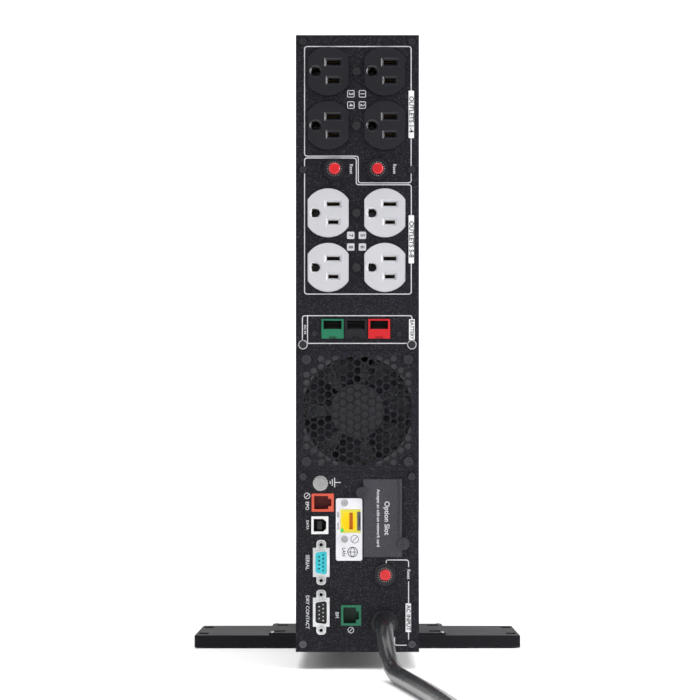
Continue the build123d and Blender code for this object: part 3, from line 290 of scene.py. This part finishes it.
# ---------------------------------------------------------------- supply cord
CORD_R = 0.0058
COIL_CENTRE = (-0.020, REAR_Y - 0.540)
OUTER_TURN = 0.0825
INNER_TURN = 0.0361
LIFTED_TURN = 0.0425
TAIL_TURN = 0.0715
TURN_POINTS = 24
TURN_SWELL = 1 / cos(pi / TURN_POINTS)
LAYER_Z = (CORD_R, 3 * CORD_R)
PLUG_AXIS_Z = 0.0102
PLUG_REACH = 0.078

CORD_ROUTE = [
    (0.0190, REAR_Y - 0.028, 0.0324),
    (0.0190, REAR_Y - 0.042, 0.0324),
    (0.0186, REAR_Y - 0.054, 0.0299),
    (0.0188, REAR_Y - 0.066, 0.0242),
    (0.0205, REAR_Y - 0.078, 0.0156),
    (0.0229, REAR_Y - 0.090, 0.0093),
    (0.0254, REAR_Y - 0.104, 0.0058),
    (0.0288, REAR_Y - 0.126, 0.0058),
    (0.0365, REAR_Y - 0.175, 0.0058),
    (0.0445, REAR_Y - 0.230, 0.0058),
    (0.0530, REAR_Y - 0.300, 0.0058),
    (0.0590, REAR_Y - 0.370, 0.0058),
    (0.0620, REAR_Y - 0.440, 0.0058),
    (0.0625, REAR_Y - 0.490, 0.0058),
]


def turn_point(turns, radius, z):
    """A point of the coil after a number of clockwise turns from its right side."""
    angle = -2 * pi * turns
    reach = radius * TURN_SWELL
    return (COIL_CENTRE[0] + reach * cos(angle), COIL_CENTRE[1] + reach * sin(angle), z)


def coil_points():
    """Two flat layers: the first winds inward on the floor, the second outward on top of it."""
    points = []
    inward = 4 * TURN_POINTS
    for step in range(inward):
        part = step / inward
        climb = max(0.0, (step - inward + TURN_POINTS // 3) / (TURN_POINTS // 3))
        z = LAYER_Z[0] + (LAYER_Z[1] - LAYER_Z[0]) * climb
        points.append(turn_point(step / TURN_POINTS, OUTER_TURN + (INNER_TURN - OUTER_TURN) * part, z))
    outward = int(2.5 * TURN_POINTS)
    for step in range(outward + 1):
        radius = LIFTED_TURN + (TAIL_TURN - LIFTED_TURN) * step / outward
        points.append(turn_point(4 + step / TURN_POINTS, radius, LAYER_Z[1]))
    return points


def tail_points():
    """From the top layer's left side straight on into the plug."""
    x = COIL_CENTRE[0] - TAIL_TURN
    y = COIL_CENTRE[1]
    falling = [(x, y + 0.046, 0.0155), (x, y + 0.060, 0.0108)]
    return [(x, y + 0.020, LAYER_Z[1]), *falling, (x, y + PLUG_REACH, PLUG_AXIS_Z)]


def make_cord():
    """The supply cord as one smooth curve from the strain relief to its plug."""
    points = CORD_ROUTE + coil_points() + tail_points()
    data = bpy.data.curves.new("supply_cord", "CURVE")
    data.dimensions = "3D"
    data.bevel_depth = CORD_R
    data.bevel_resolution = 6
    data.resolution_u = 6
    data.use_fill_caps = True
    spline = data.splines.new("NURBS")
    spline.points.add(len(points) - 1)
    for point, position in zip(spline.points, points):
        point.co = (*position, 1)
    spline.order_u = 3
    spline.use_endpoint_u = True
    data.materials.append(FINISHES["rubber"])
    cord = link_object("supply_cord", data)
    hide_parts("ac_cord", "ac_cord_coil")


make_cord()


# ---------------------------------------------------------------- printed marks
INK_LINE = 0.65


def arc_corners(points, radius, closed, steps=5):
    """A polyline with its corners rounded."""
    rounded = []
    count = len(points)
    for i, point in enumerate(points):
        corner = Vector(point)
        if not closed and i in (0, count - 1):
            rounded.append(corner)
            continue
        before = Vector(points[i - 1]) - corner
        after = Vector(points[(i + 1) % count]) - corner
        turn = before.angle(after)
        along = radius / max(0.05, abs(sin(turn / 2) / cos(turn / 2)))
        reach = min(along, before.length / 2, after.length / 2)
        start = corner + before.normalized() * reach
        end = corner + after.normalized() * reach
        for step in range(steps + 1):
            t = step / steps
            rounded.append(start * (1 - t) ** 2 + corner * 2 * t * (1 - t) + end * t ** 2)
    return rounded


def prism(shape, outline, out, thick=PRINT_T):
    """A thin closed plate from a convex outline of (x, h) points."""
    near = [shape.verts.new(place(x, out + thick, h)) for x, h in outline]
    far = [shape.verts.new(place(x, out, h)) for x, h in outline]
    shape.faces.new(near)
    shape.faces.new(far[::-1])
    for i in range(len(outline)):
        j = (i + 1) % len(outline)
        shape.faces.new((near[i], far[i], far[j], near[j]))


def strip(shape, points, width=INK_LINE, closed=False, radius=2.0, out=INK_GAP):
    """A printed line of even width along a polyline."""
    path = arc_corners(points, radius, closed)
    count = len(path)
    sides = []
    for i, point in enumerate(path):
        before = path[i - 1] if closed or i else path[i]
        after = path[(i + 1) % count] if closed or i < count - 1 else path[i]
        along = (after - before).normalized()
        across = Vector((-along.y, along.x)) * width / 2
        sides.append((point + across, point - across))
    for i in range(count if closed else count - 1):
        a, b = sides[i]
        d, c = sides[(i + 1) % count]
        prism(shape, [a, b, c, d], out)


def ring(shape, x, h, radius, width=0.5, out=INK_GAP, steps=32):
    """A printed circle line."""
    turns = [2 * pi * i / steps for i in range(steps)]
    points = [(x + radius * cos(turn), h + radius * sin(turn)) for turn in turns]
    strip(shape, points, width, True, 0.01, out)


def patch(shape, x, h, out=INK_GAP, radius=0.8, thick=PRINT_T):
    """A printed or stuck-on rectangle with rounded corners, given its x and h limits."""
    corners = [(x[0], h[0]), (x[1], h[0]), (x[1], h[1]), (x[0], h[1])]
    prism(shape, arc_corners(corners, radius, True), out, thick)


def lettering(name, words, x, h, tall, material=None, out=INK_GAP, body="chassis"):
    """Generic lettering that reads from top to bottom, centred at a panel place."""
    data = bpy.data.curves.new(name, "FONT")
    data.body = words
    data.size = tall * 1.38 * MM
    data.extrude = PRINT_T * MM / 2
    data.offset = 0.022 * tall * MM
    data.align_x = "CENTER"
    data.align_y = "CENTER"
    data.materials.append(material or INK_WHITE)
    text = bpy.data.objects.new(name, data)
    axes = Matrix(((0, 1, 0), (0, 0, -1), (-1, 0, 0))).to_4x4()
    text.matrix_world = Matrix.Translation(place(x, out + PRINT_T / 2, h)) @ axes
    bpy.context.scene.collection.objects.link(text)
    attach(text, body)


BOX_HALF = (2.6, 2.55)
OUTLET_NUMBERS = (
    (3, -4.6, 391.7, False), (1, 3.5, 391.7, False), (4, -4.6, 383.8, False), (2, 3.5, 383.8, False),
    (7, -4.7, 292.4, True), (5, 3.5, 292.4, True), (8, -4.7, 284.2, True), (6, 3.5, 284.2, True),
)
BREAKERS = ((-16.1, 338.6), (14.2, 338.6), (19.4, 54.2))


def print_outlet_panel():
    """Outlines, numbers and labels round the receptacles and breakers."""
    ink = bmesh.new()
    strip(ink, [(-37.1, 424.9), (37.7, 424.9), (37.7, 329.2), (0.6, 329.2), (0.6, 348.0), (-37.1, 348.0)],
          closed=True)
    strip(ink, [(-37.1, 346.7), (-0.8, 346.7), (-0.8, 327.9), (37.8, 327.9), (37.8, 251.2), (-37.1, 251.2)],
          closed=True)
    strip(ink, [(-38.6, 216.6), (38.3, 216.6), (38.3, 236.0), (-38.6, 236.0)], closed=True)
    strip(ink, [(-35.0, 217.0), (-35.0, 235.6)], 0.6)
    for side in (-1, 1):
        ring(ink, side * 38.2, 215.7, 3.0, 0.6)
    for number, x, h, filled in OUTLET_NUMBERS:
        if filled:
            patch(ink, (x - BOX_HALF[0], x + BOX_HALF[0]), (h - BOX_HALF[1], h + BOX_HALF[1]), radius=0.9)
        else:
            box = [(x - 2.3, h - 2.3), (x + 2.3, h - 2.3), (x + 2.3, h + 2.3), (x - 2.3, h + 2.3)]
            strip(ink, box, 0.5, True, 0.8)
        lettering(f"number_{number}", str(number), x, h, 3.0, INK_DARK if filled else INK_WHITE,
                  out=INK_GAP + 2 * PRINT_T if filled else INK_GAP)
    mesh_object("outlet_panel_print", ink, INK_WHITE)
    labels = bmesh.new()
    patch(labels, (35.9, 39.7), (360.6, 393.9), INK_GAP + 2 * PRINT_T, 0.5)
    patch(labels, (35.9, 39.7), (272.7, 306.5), INK_GAP + 2 * PRINT_T, 0.5)
    patch(labels, (36.2, 40.2), (219.0, 233.6), INK_GAP + 2 * PRINT_T, 0.5)
    patch(labels, (33.8, 37.6), (14.0, 34.2), INK_GAP + 2 * PRINT_T, 0.5)
    mesh_object("panel_labels", labels, LABEL_WHITE)
    raised = INK_GAP + 4 * PRINT_T
    lettering("label_output_a", "OUTLETS 1-4", 37.8, 377.2, 3.2, INK_DARK, raised)
    lettering("label_output_b", "OUTLETS 5-8", 37.8, 289.6, 3.2, INK_DARK, raised)
    lettering("label_battery", "BATTERY", 38.2, 226.3, 2.4, INK_DARK, raised)
    lettering("label_input", "AC INPUT", 35.7, 24.1, 2.9, INK_DARK, raised)
    lettering("print_volts", "DC IN", -36.8, 226.3, 1.7)
    lettering("print_reset_left", "Reset", -4.4, 339.0, 2.2)
    lettering("print_reset_right", "Reset", 26.0, 339.0, 2.2)


def print_comm_panel():
    """Marks on the communication panel."""
    ink = bmesh.new()
    strip(ink, [(20.2, 62.2), (20.2, 64.6), (35.9, 64.6), (35.9, 59.6)])
    strip(ink, [(35.9, 49.6), (35.9, 34.4)])
    strip(ink, [(35.9, 13.8), (35.9, 8.6)])
    strip(ink, [(34.6, 4.8), (26.0, 4.8), (26.0, 10.5)])
    strip(ink, [(-15.9, 119.0), (-11.6, 119.0)], 0.6)
    for x, half in ((-16.0, 3.4), (-17.6, 2.3), (-19.1, 1.0)):
        strip(ink, [(x, 119.0 - half), (x, 119.0 + half)], 0.6)
    ring(ink, -35.3, 109.6, 2.0, 0.45)
    strip(ink, [(-36.6, 108.3), (-34.0, 110.9)], 0.45)
    ring(ink, -4.6, 15.4, 2.0, 0.45)
    strip(ink, [(-5.9, 14.1), (-3.3, 16.7)], 0.45)
    mesh_object("comm_panel_print", ink, INK_WHITE)
    lettering("print_reset_input", "Reset", 35.9, 54.6, 2.2)
    lettering("print_emergency_off", "EPO", -35.3, 102.6, 2.4)
    lettering("print_usb", "DATA", -35.1, 89.2, 1.8)
    lettering("print_serial", "SERIAL", -35.1, 62.9, 2.6)
    lettering("print_contact", "DRY CONTACT", -35.1, 28.0, 2.4)
    lettering("print_module", "BM", -14.4, 26.0, 2.4)
    lettering("print_slot", "Option Slot", 20.6, 94.0, 3.6, out=1.0 + INK_GAP)
    lettering("print_slot_note", "Accepts an add-on network card", 14.6, 94.0, 2.2, out=1.0 + INK_GAP)
    dark = bmesh.new()
    plate = 0.8 + INK_GAP
    ring(dark, -1.9, 79.2, 2.7, 0.35, plate)
    strip(dark, [(-3.6, 77.5), (-0.2, 80.9)], 0.35, out=plate)
    ring(dark, -3.4, 70.2, 3.4, 0.5, plate)
    strip(dark, [(-6.8, 70.2), (0.0, 70.2)], 0.4, out=plate)
    strip(dark, [(-3.4, 66.8), (-4.9, 68.5), (-4.9, 71.9), (-3.4, 73.6)], 0.4, out=plate)
    strip(dark, [(-3.4, 66.8), (-1.9, 68.5), (-1.9, 71.9), (-3.4, 73.6)], 0.4, out=plate)
    mesh_object("network_plate_print", dark, INK_DARK)
    lettering("print_lan", "LAN", -9.6, 70.2, 2.3, INK_DARK, plate)
    lettering("print_link", "LINK", -13.6, 96.4, 1.3, INK_DARK, plate)
    lettering("print_traffic", "DATA", -13.6, 88.4, 1.3, INK_DARK, plate)


def print_breaker_rings():
    """Light ticks round each button, on the face of its bushing."""
    ticks = bmesh.new()
    for x, h in BREAKERS:
        for step in range(18):
            angle = 2 * pi * step / 18
            along = Vector((cos(angle), sin(angle)))
            across = Vector((-along.y, along.x)) * 0.13
            low = Vector((x, h)) + along * 4.45
            high = Vector((x, h)) + along * 5.1
            prism(ticks, [low - across, low + across, high + across, high - across], 4.2 + INK_GAP)
    mesh_object("breaker_ticks", ticks, INK_WHITE)


print_outlet_panel()
print_comm_panel()
print_breaker_rings()


# ---------------------------------------------------------------- second colours, painted shade and painted light on CAD nodes
def paint_region(node_name, material, low, high):
    """Give the faces of a CAD node inside a box of panel places another finish."""
    data = frame["nodes"][node_name].data
    data.materials.append(material)
    corners = (place(*low), place(*high))
    lowest = [min(a, b) for a, b in zip(*corners)]
    highest = [max(a, b) for a, b in zip(*corners)]
    for face in data.polygons:
        if all(a <= value <= b for a, value, b in zip(lowest, face.center, highest)):
            face.material_index = len(data.materials) - 1


def paint_near(node_name, material, centres, radius):
    """Give the faces of a CAD node close to upright axes at (x, y) another finish."""
    data = frame["nodes"][node_name].data
    data.materials.append(material)
    for face in data.polygons:
        if any((face.center.xy - Vector(centre)).length < radius for centre in centres):
            face.material_index = len(data.materials) - 1


JACKSCREW_HALF = 1.21


def paint_second_colours():
    """Contacts, pins, tongues and cavities that share a node with their housing; cavities, contacts and
    jackscrew holes get painted shade, the network socket a painted glow and the stand pins a painted
    highlight.
    """
    # Painted shade: the inside of the USB socket made near-black.
    paint_region("usb_socket", CAVITY_SHADE, (-30.8, 0.5, 84.5), (-21.8, -12.4, 93.5))
    # Painted light: the network socket's inside glows with its own colours.
    paint_region("lan_socket", GLOWING_LAN_CAVITY, (LAN_MOUTH_X[0], 0.9, 85.9), (LAN_MOUTH_X[1], -15.2, 97.9))
    paint_region("lan_socket", GREY_STRIP, (-0.3, 2, 85.0), (2.4, -12.2, 98.8))
    paint_region("lan_socket", GREEN_LIGHT, (-11.7, 2, 84.1), (-9.8, -4.2, 86.7))
    paint_region("relay_insert", FINISHES["bright_screw"], (-30, 5.3, 20), (-20, 0.95, 36))
    paint_region("hex_spacers", FINISHES["bright_screw"], (-32, 6, 10), (-20, -8, 80))
    # Painted shade: the jackscrew holes made near-black inside.
    for centre in (SERIAL_H, RELAY_H):
        for side in (-1, 1):
            h = centre + side * JACKSCREW_REACH
            paint_region("hex_spacers", CAVITY_SHADE, (DSUB_X - JACKSCREW_HALF, 4.3, h - JACKSCREW_HALF),
                         (DSUB_X + JACKSCREW_HALF, -1.2, h + JACKSCREW_HALF))
    paint_region("fitting_screws", FINISHES["black_screw"], (-40, 5, 210), (40, -12, 420))
    paint_region("fitting_screws", FINISHES["black_screw"], (-2, 5, 60), (40, -12, 125))
    # Painted shade: near-black over the battery port contacts.
    paint_region("socket_contacts", CAVITY_SHADE, (-26, 0, 226), (24, -16.2, 229))
    # Port insides in darker copies of their red and green: own colour with painted shade.
    paint_region("battery_port_red", SHADED_RED_CAVITY, (8.9, 1.3, 226.5), (21.6, -16.1, 232.6))
    paint_region("battery_port_green", SHADED_GREEN_CAVITY, (-23.9, 1.3, 226.5), (-11.0, -16.1, 232.6))
    for node_name in ("fan_frame", "fan_rotor"):
        paint_region(node_name, FAN_GREY, (-41, -1, 129), (41, -27, 210))
    paint_region("battery_blocks", FINISHES["brass"], (-30, -100, 100.2), (30, -460, 106.5))
    # Jack insides in the same darker red and green: own colour with painted shade.
    paint_region("emergency_off_jack", SHADED_RED_CAVITY, (-30.3, 0.2, 100.3), (-18.4, -12.5, 109.4))
    paint_region("battery_data_jack", SHADED_GREEN_CAVITY, (-9.8, 0.2, 20.3), (1.0, -13.6, 31.2))
    # The near-black box of painted shade is a little smaller than the coloured ones, so a coloured rim stays
    # round each port.
    for name, low, high in (("green", -23.7, -11.2), ("black", -7.1, 5.0), ("red", 9.1, 21.4)):
        paint_region(f"battery_port_{name}", CAVITY_SHADE, (low, 0.6, 226.7), (high, -16.2, 232.4))
    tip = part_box("ac_plug")[1].y
    data = frame["nodes"]["ac_plug"].data
    data.materials.append(FINISHES["brass"])
    for face in data.polygons:
        if face.center.y > tip - 0.0188:
            face.material_index = len(data.materials) - 1
    # Chrome spots on pins at the platform's corners: a painted highlight where the corner catches light.
    low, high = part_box("stand_platform")
    pins = [(x, y) for x in (-0.0662, 0.0662) for y in (low.y + 0.0035, high.y - 0.0035)]
    paint_near("stand_platform", GLINT_PIN_CHROME, pins, 0.0016)


paint_second_colours()


# ---------------------------------------------------------------- display
DIAL_H = 372.0
KEY_X = {"power": -16.5, "up": -5.5, "down": 5.5, "enter": 16.5}
KEY_DROP = 22.0


def to_front(shape, front_y):
    """Turn marks made in panel places so that they lie on a face toward +Y, read from the display side."""
    turn = Matrix.Translation((0, front_y + REAR_Y, 0)) @ Matrix.Rotation(pi, 4, "Z")
    bmesh.ops.transform(shape, matrix=turn, verts=shape.verts)


def print_key(name):
    """The symbol on one key."""
    mark = bmesh.new()
    x, h = KEY_X[name], DIAL_H - KEY_DROP
    if name == "power":
        ring(mark, x, h, 1.5, 0.4, steps=20)
        strip(mark, [(x, h), (x, h + 2.1)], 0.45)
    elif name == "enter":
        ring(mark, x, h, 1.4, 0.4, steps=20)
        ring(mark, x, h, 0.5, 0.4, steps=12)
    else:
        way = 1 if name == "up" else -1
        prism(mark, [(x - 1.6, h - way), (x + 1.6, h - way), (x, h + way * 1.5)], INK_GAP)
    to_front(mark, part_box(f"key_{name}")[1].y)
    mesh_object(f"key_mark_{name}", mark, INK_WHITE, f"key_{name}")


def light_ink():
    """The lit segments of the screen."""
    material = finish("screen_segments", (0.5, 0.75, 0.95), 0.4, grain=3000, bump=0.02, vary=0.03)
    shader = material.node_tree.nodes["Principled BSDF"]
    shader.inputs["Emission Color"].default_value = (0.45, 0.75, 1.0, 1)
    shader.inputs["Emission Strength"].default_value = 0.8
    return material


def draw_screen():
    """Generic segments: a load bar, a charge bar, a mains-to-load line and a row of ticks."""
    lit = bmesh.new()
    middle = DIAL_H + 4.0
    for side in (-1, 1):
        x = side * 15.0
        frame_box = [(x - 3, middle - 9), (x + 3, middle - 9), (x + 3, middle + 9), (x - 3, middle + 9)]
        strip(lit, frame_box, 0.4, True, 0.5)
        for step in range(4 if side < 0 else 5):
            h = middle - 7.4 + step * 3.4
            patch(lit, (x - 2.2, x + 2.2), (h - 1.1, h + 1.1), radius=0.2)
    strip(lit, [(-8.5, middle), (-3.5, middle)], 0.5)
    strip(lit, [(3.5, middle), (8.5, middle)], 0.5)
    core = [(-3.5, middle - 3), (3.5, middle - 3), (3.5, middle + 3), (-3.5, middle + 3)]
    strip(lit, core, 0.45, True, 0.6)
    strip(lit, [(-2, middle), (-1, middle + 1.2), (1, middle - 1.2), (2, middle)], 0.4)
    for step in range(9):
        strip(lit, [(-8 + step * 2, middle + 10), (-8 + step * 2, middle + 11.5)], 0.4)
    to_front(lit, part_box("display_screen")[1].y)
    mesh_object("screen_segments", lit, light_ink(), "display")


draw_screen()
for key in KEY_X:
    print_key(key)


# ---------------------------------------------------------------- softened edges
CLAMP_BELOW = 0.0003


def soften(node_name, width, angle=40):
    """Round a CAD node's sharp edges a little so that they catch light."""
    node = frame["nodes"][node_name]
    bevel = node.modifiers.new("soft_edges", "BEVEL")
    bevel.width = width
    bevel.segments = 3
    bevel.limit_method = "ANGLE"
    bevel.angle_limit = radians(angle)
    bevel.harden_normals = False
    bevel.use_clamp_overlap = width < CLAMP_BELOW


for node_name, width in (("receptacles_black", 0.0004), ("receptacles_grey", 0.0004),
                         ("display_bezel", 0.0006), ("battery_bezel", 0.0006),
                         ("slot_cover", 0.0003), ("cord_gland", 0.0008), ("ac_plug", 0.0006),
                         ("case_screws", 0.0007), ("fitting_screws", 0.0006), ("ground_terminal", 0.0004),
                         ("breaker_bodies", 0.0005), ("dsub_shells", 0.0003), ("case_tray", 0.00025),
                         ("case_cover", 0.00025), ("fan_panel", 0.00025), ("lan_plate", 0.0002),
                         ("emergency_off_jack", 0.0002), ("battery_data_jack", 0.0002)):
    soften(node_name, width)


# ---------------------------------------------------------------- floor and light
SWEEP_BACK = 6.5
SWEEP_RADIUS = 1.2


def sweep_profile():
    """Side outline of the studio sweep as (y, z): floor, quarter-round, back wall."""
    outline = [(-4.0, 0.0)]
    for step in range(17):
        angle = radians(90) * step / 16
        outline.append((SWEEP_BACK + SWEEP_RADIUS * sin(angle), SWEEP_RADIUS * (1 - cos(angle))))
    return outline + [(SWEEP_BACK + SWEEP_RADIUS, 5.0)]


def make_floor():
    """A pale floor that curves up into the wall behind."""
    shape = bmesh.new()
    rows = [[shape.verts.new((x, y, z)) for x in (-6, 6)] for y, z in sweep_profile()]
    for near, far in zip(rows, rows[1:]):
        shape.faces.new((near[0], near[1], far[1], far[0]))
    data = bpy.data.meshes.new("floor")
    shape.to_mesh(data)
    shape.free()
    for face in data.polygons:
        face.use_smooth = True
    floor = bpy.data.objects.new("floor", data)
    bpy.context.scene.collection.objects.link(floor)
    data.materials.append(finish("floor", (0.9, 0.9, 0.9), 0.7, grain=300, bump=0.02, vary=0.005, cloud=2))


def area_light(name, location, target, size, power, size_y=None):
    """A soft rectangular lamp aimed at a point."""
    data = bpy.data.lights.new(name, "AREA")
    data.shape = "RECTANGLE"
    data.size = size
    data.size_y = size_y or size
    data.energy = power
    lamp = bpy.data.objects.new(name, data)
    lamp.location = location
    lamp.rotation_euler = (Vector(target) - Vector(location)).to_track_quat("-Z", "Y").to_euler()
    bpy.context.scene.collection.objects.link(lamp)


def make_light():
    """Dim pale surroundings, a wide lamp above, soft and edge lamps round the panel, and one for the wall."""
    world = bpy.data.worlds.new("studio")
    world.use_nodes = True
    background = world.node_tree.nodes["Background"]
    background.inputs["Color"].default_value = (1, 1, 1, 1)
    background.inputs["Strength"].default_value = 0.4
    bpy.context.scene.world = world
    middle = (0, REAR_Y, 0.2)
    area_light("overhead", (0, REAR_Y + 0.2, 2.6), (0, REAR_Y + 0.2, 0), 3.2, 85)
    area_light("left_soft", (-1.7, REAR_Y - 1.2, 0.9), middle, 0.35, 8, 1.6)
    area_light("right_soft", (1.7, REAR_Y - 1.2, 0.9), middle, 0.35, 8, 1.6)
    area_light("left_edge", (-1.4, REAR_Y + 0.04, 0.5), (0, REAR_Y + 0.04, 0.3), 0.22, 6, 1.4)
    area_light("right_edge", (1.4, REAR_Y - 0.1, 0.5), (0, REAR_Y, 0.3), 0.34, 32, 1.4)
    area_light("top_edge", (0, REAR_Y + 0.03, 1.7), (0, REAR_Y + 0.03, 0.2), 0.9, 8, 0.22)
    area_light("wall_wash", (0, 1.6, 2.6), (0, 6.0, 0.6), 3.4, 420, 0.8)
    bpy.context.scene.view_settings.view_transform = "Standard"


make_floor()
make_light()
